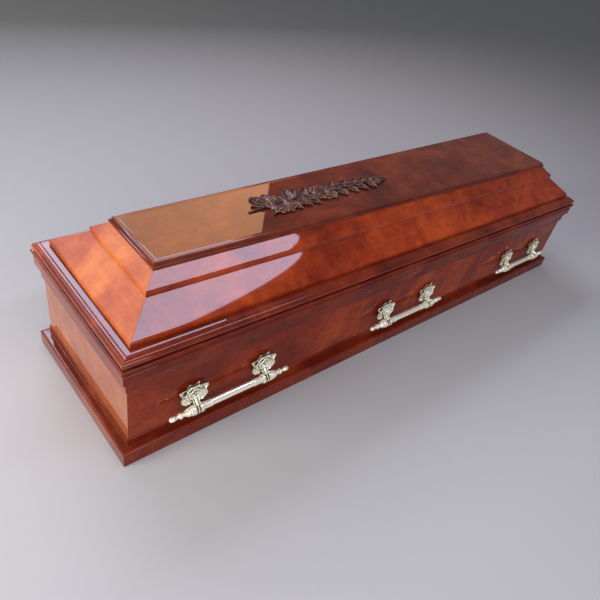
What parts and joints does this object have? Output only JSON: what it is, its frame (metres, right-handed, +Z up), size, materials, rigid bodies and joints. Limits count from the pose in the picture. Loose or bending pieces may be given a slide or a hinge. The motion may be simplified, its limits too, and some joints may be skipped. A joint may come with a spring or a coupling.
{
  "type": "wooden coffin",
  "caption": "Hollow tapered wooden coffin with a hipped, moulded lift-off lid, a carved rose spray on its top and cast bar handles on rose brackets along both sides.",
  "frame": {"origin": "centre of the bounding box, on the floor", "axes": "+X along the length from the foot end to the head end, -Y the side shown in the picture, +Z up"},
  "size_m": [1.95, 0.6228, 0.4678],
  "materials": {
    "lacquered_wood": "high-gloss red-brown lacquer over mottled veneer",
    "plain_wood": "plain sawn board, thinly stained",
    "carved_wood": "carved wood, dark stain in the recesses, lacquered",
    "handle_metal": "polished pale gold cast metal"
  },
  "bodies": {
    "root": {"back_foot_handle_bar": "handle_metal", "back_foot_handle_foot_bracket": "handle_metal", "back_foot_handle_foot_finial": "handle_metal", "back_foot_handle_head_bracket": "handle_metal", "back_foot_handle_head_finial": "handle_metal", "back_head_handle_bar": "handle_metal", "back_head_handle_foot_bracket": "handle_metal", "back_head_handle_foot_finial": "handle_metal", "back_head_handle_head_bracket": "handle_metal", "back_head_handle_head_finial": "handle_metal", "back_lid_frame": "lacquered_wood", "back_lower_slope": "lacquered_wood", "back_middle_handle_bar": "handle_metal", "back_middle_handle_foot_bracket": "handle_metal", "back_middle_handle_foot_finial": "handle_metal", "back_middle_handle_head_bracket": "handle_metal", "back_middle_handle_head_finial": "handle_metal", "back_plinth_moulding": "lacquered_wood", "back_rim_moulding": "lacquered_wood", "back_upper_slope": "lacquered_wood", "back_wall": "lacquered_wood", "floor_board": "plain_wood", "foot_lid_frame": "lacquered_wood", "foot_lower_slope": "lacquered_wood", "foot_plinth_moulding": "lacquered_wood", "foot_rim_moulding": "lacquered_wood", "foot_upper_slope": "lacquered_wood", "foot_wall": "lacquered_wood", "front_foot_handle_bar": "handle_metal", "front_foot_handle_foot_bracket": "handle_metal", "front_foot_handle_foot_finial": "handle_metal", "front_foot_handle_head_bracket": "handle_metal", "front_foot_handle_head_finial": "handle_metal", "front_head_handle_bar": "handle_metal", "front_head_handle_foot_bracket": "handle_metal", "front_head_handle_foot_finial": "handle_metal", "front_head_handle_head_bracket": "handle_metal", "front_head_handle_head_finial": "handle_metal", "front_lid_frame": "lacquered_wood", "front_lower_slope": "lacquered_wood", "front_middle_handle_bar": "handle_metal", "front_middle_handle_foot_bracket": "handle_metal", "front_middle_handle_foot_finial": "handle_metal", "front_middle_handle_head_bracket": "handle_metal", "front_middle_handle_head_finial": "handle_metal", "front_plinth_moulding": "lacquered_wood", "front_rim_moulding": "lacquered_wood", "front_upper_slope": "lacquered_wood", "front_wall": "lacquered_wood", "head_lid_frame": "lacquered_wood", "head_lower_slope": "lacquered_wood", "head_plinth_moulding": "lacquered_wood", "head_rim_moulding": "lacquered_wood", "head_upper_slope": "lacquered_wood", "head_wall": "lacquered_wood", "rose_spray": "carved_wood", "top_board": "lacquered_wood"}
  },
  "joints": []
}
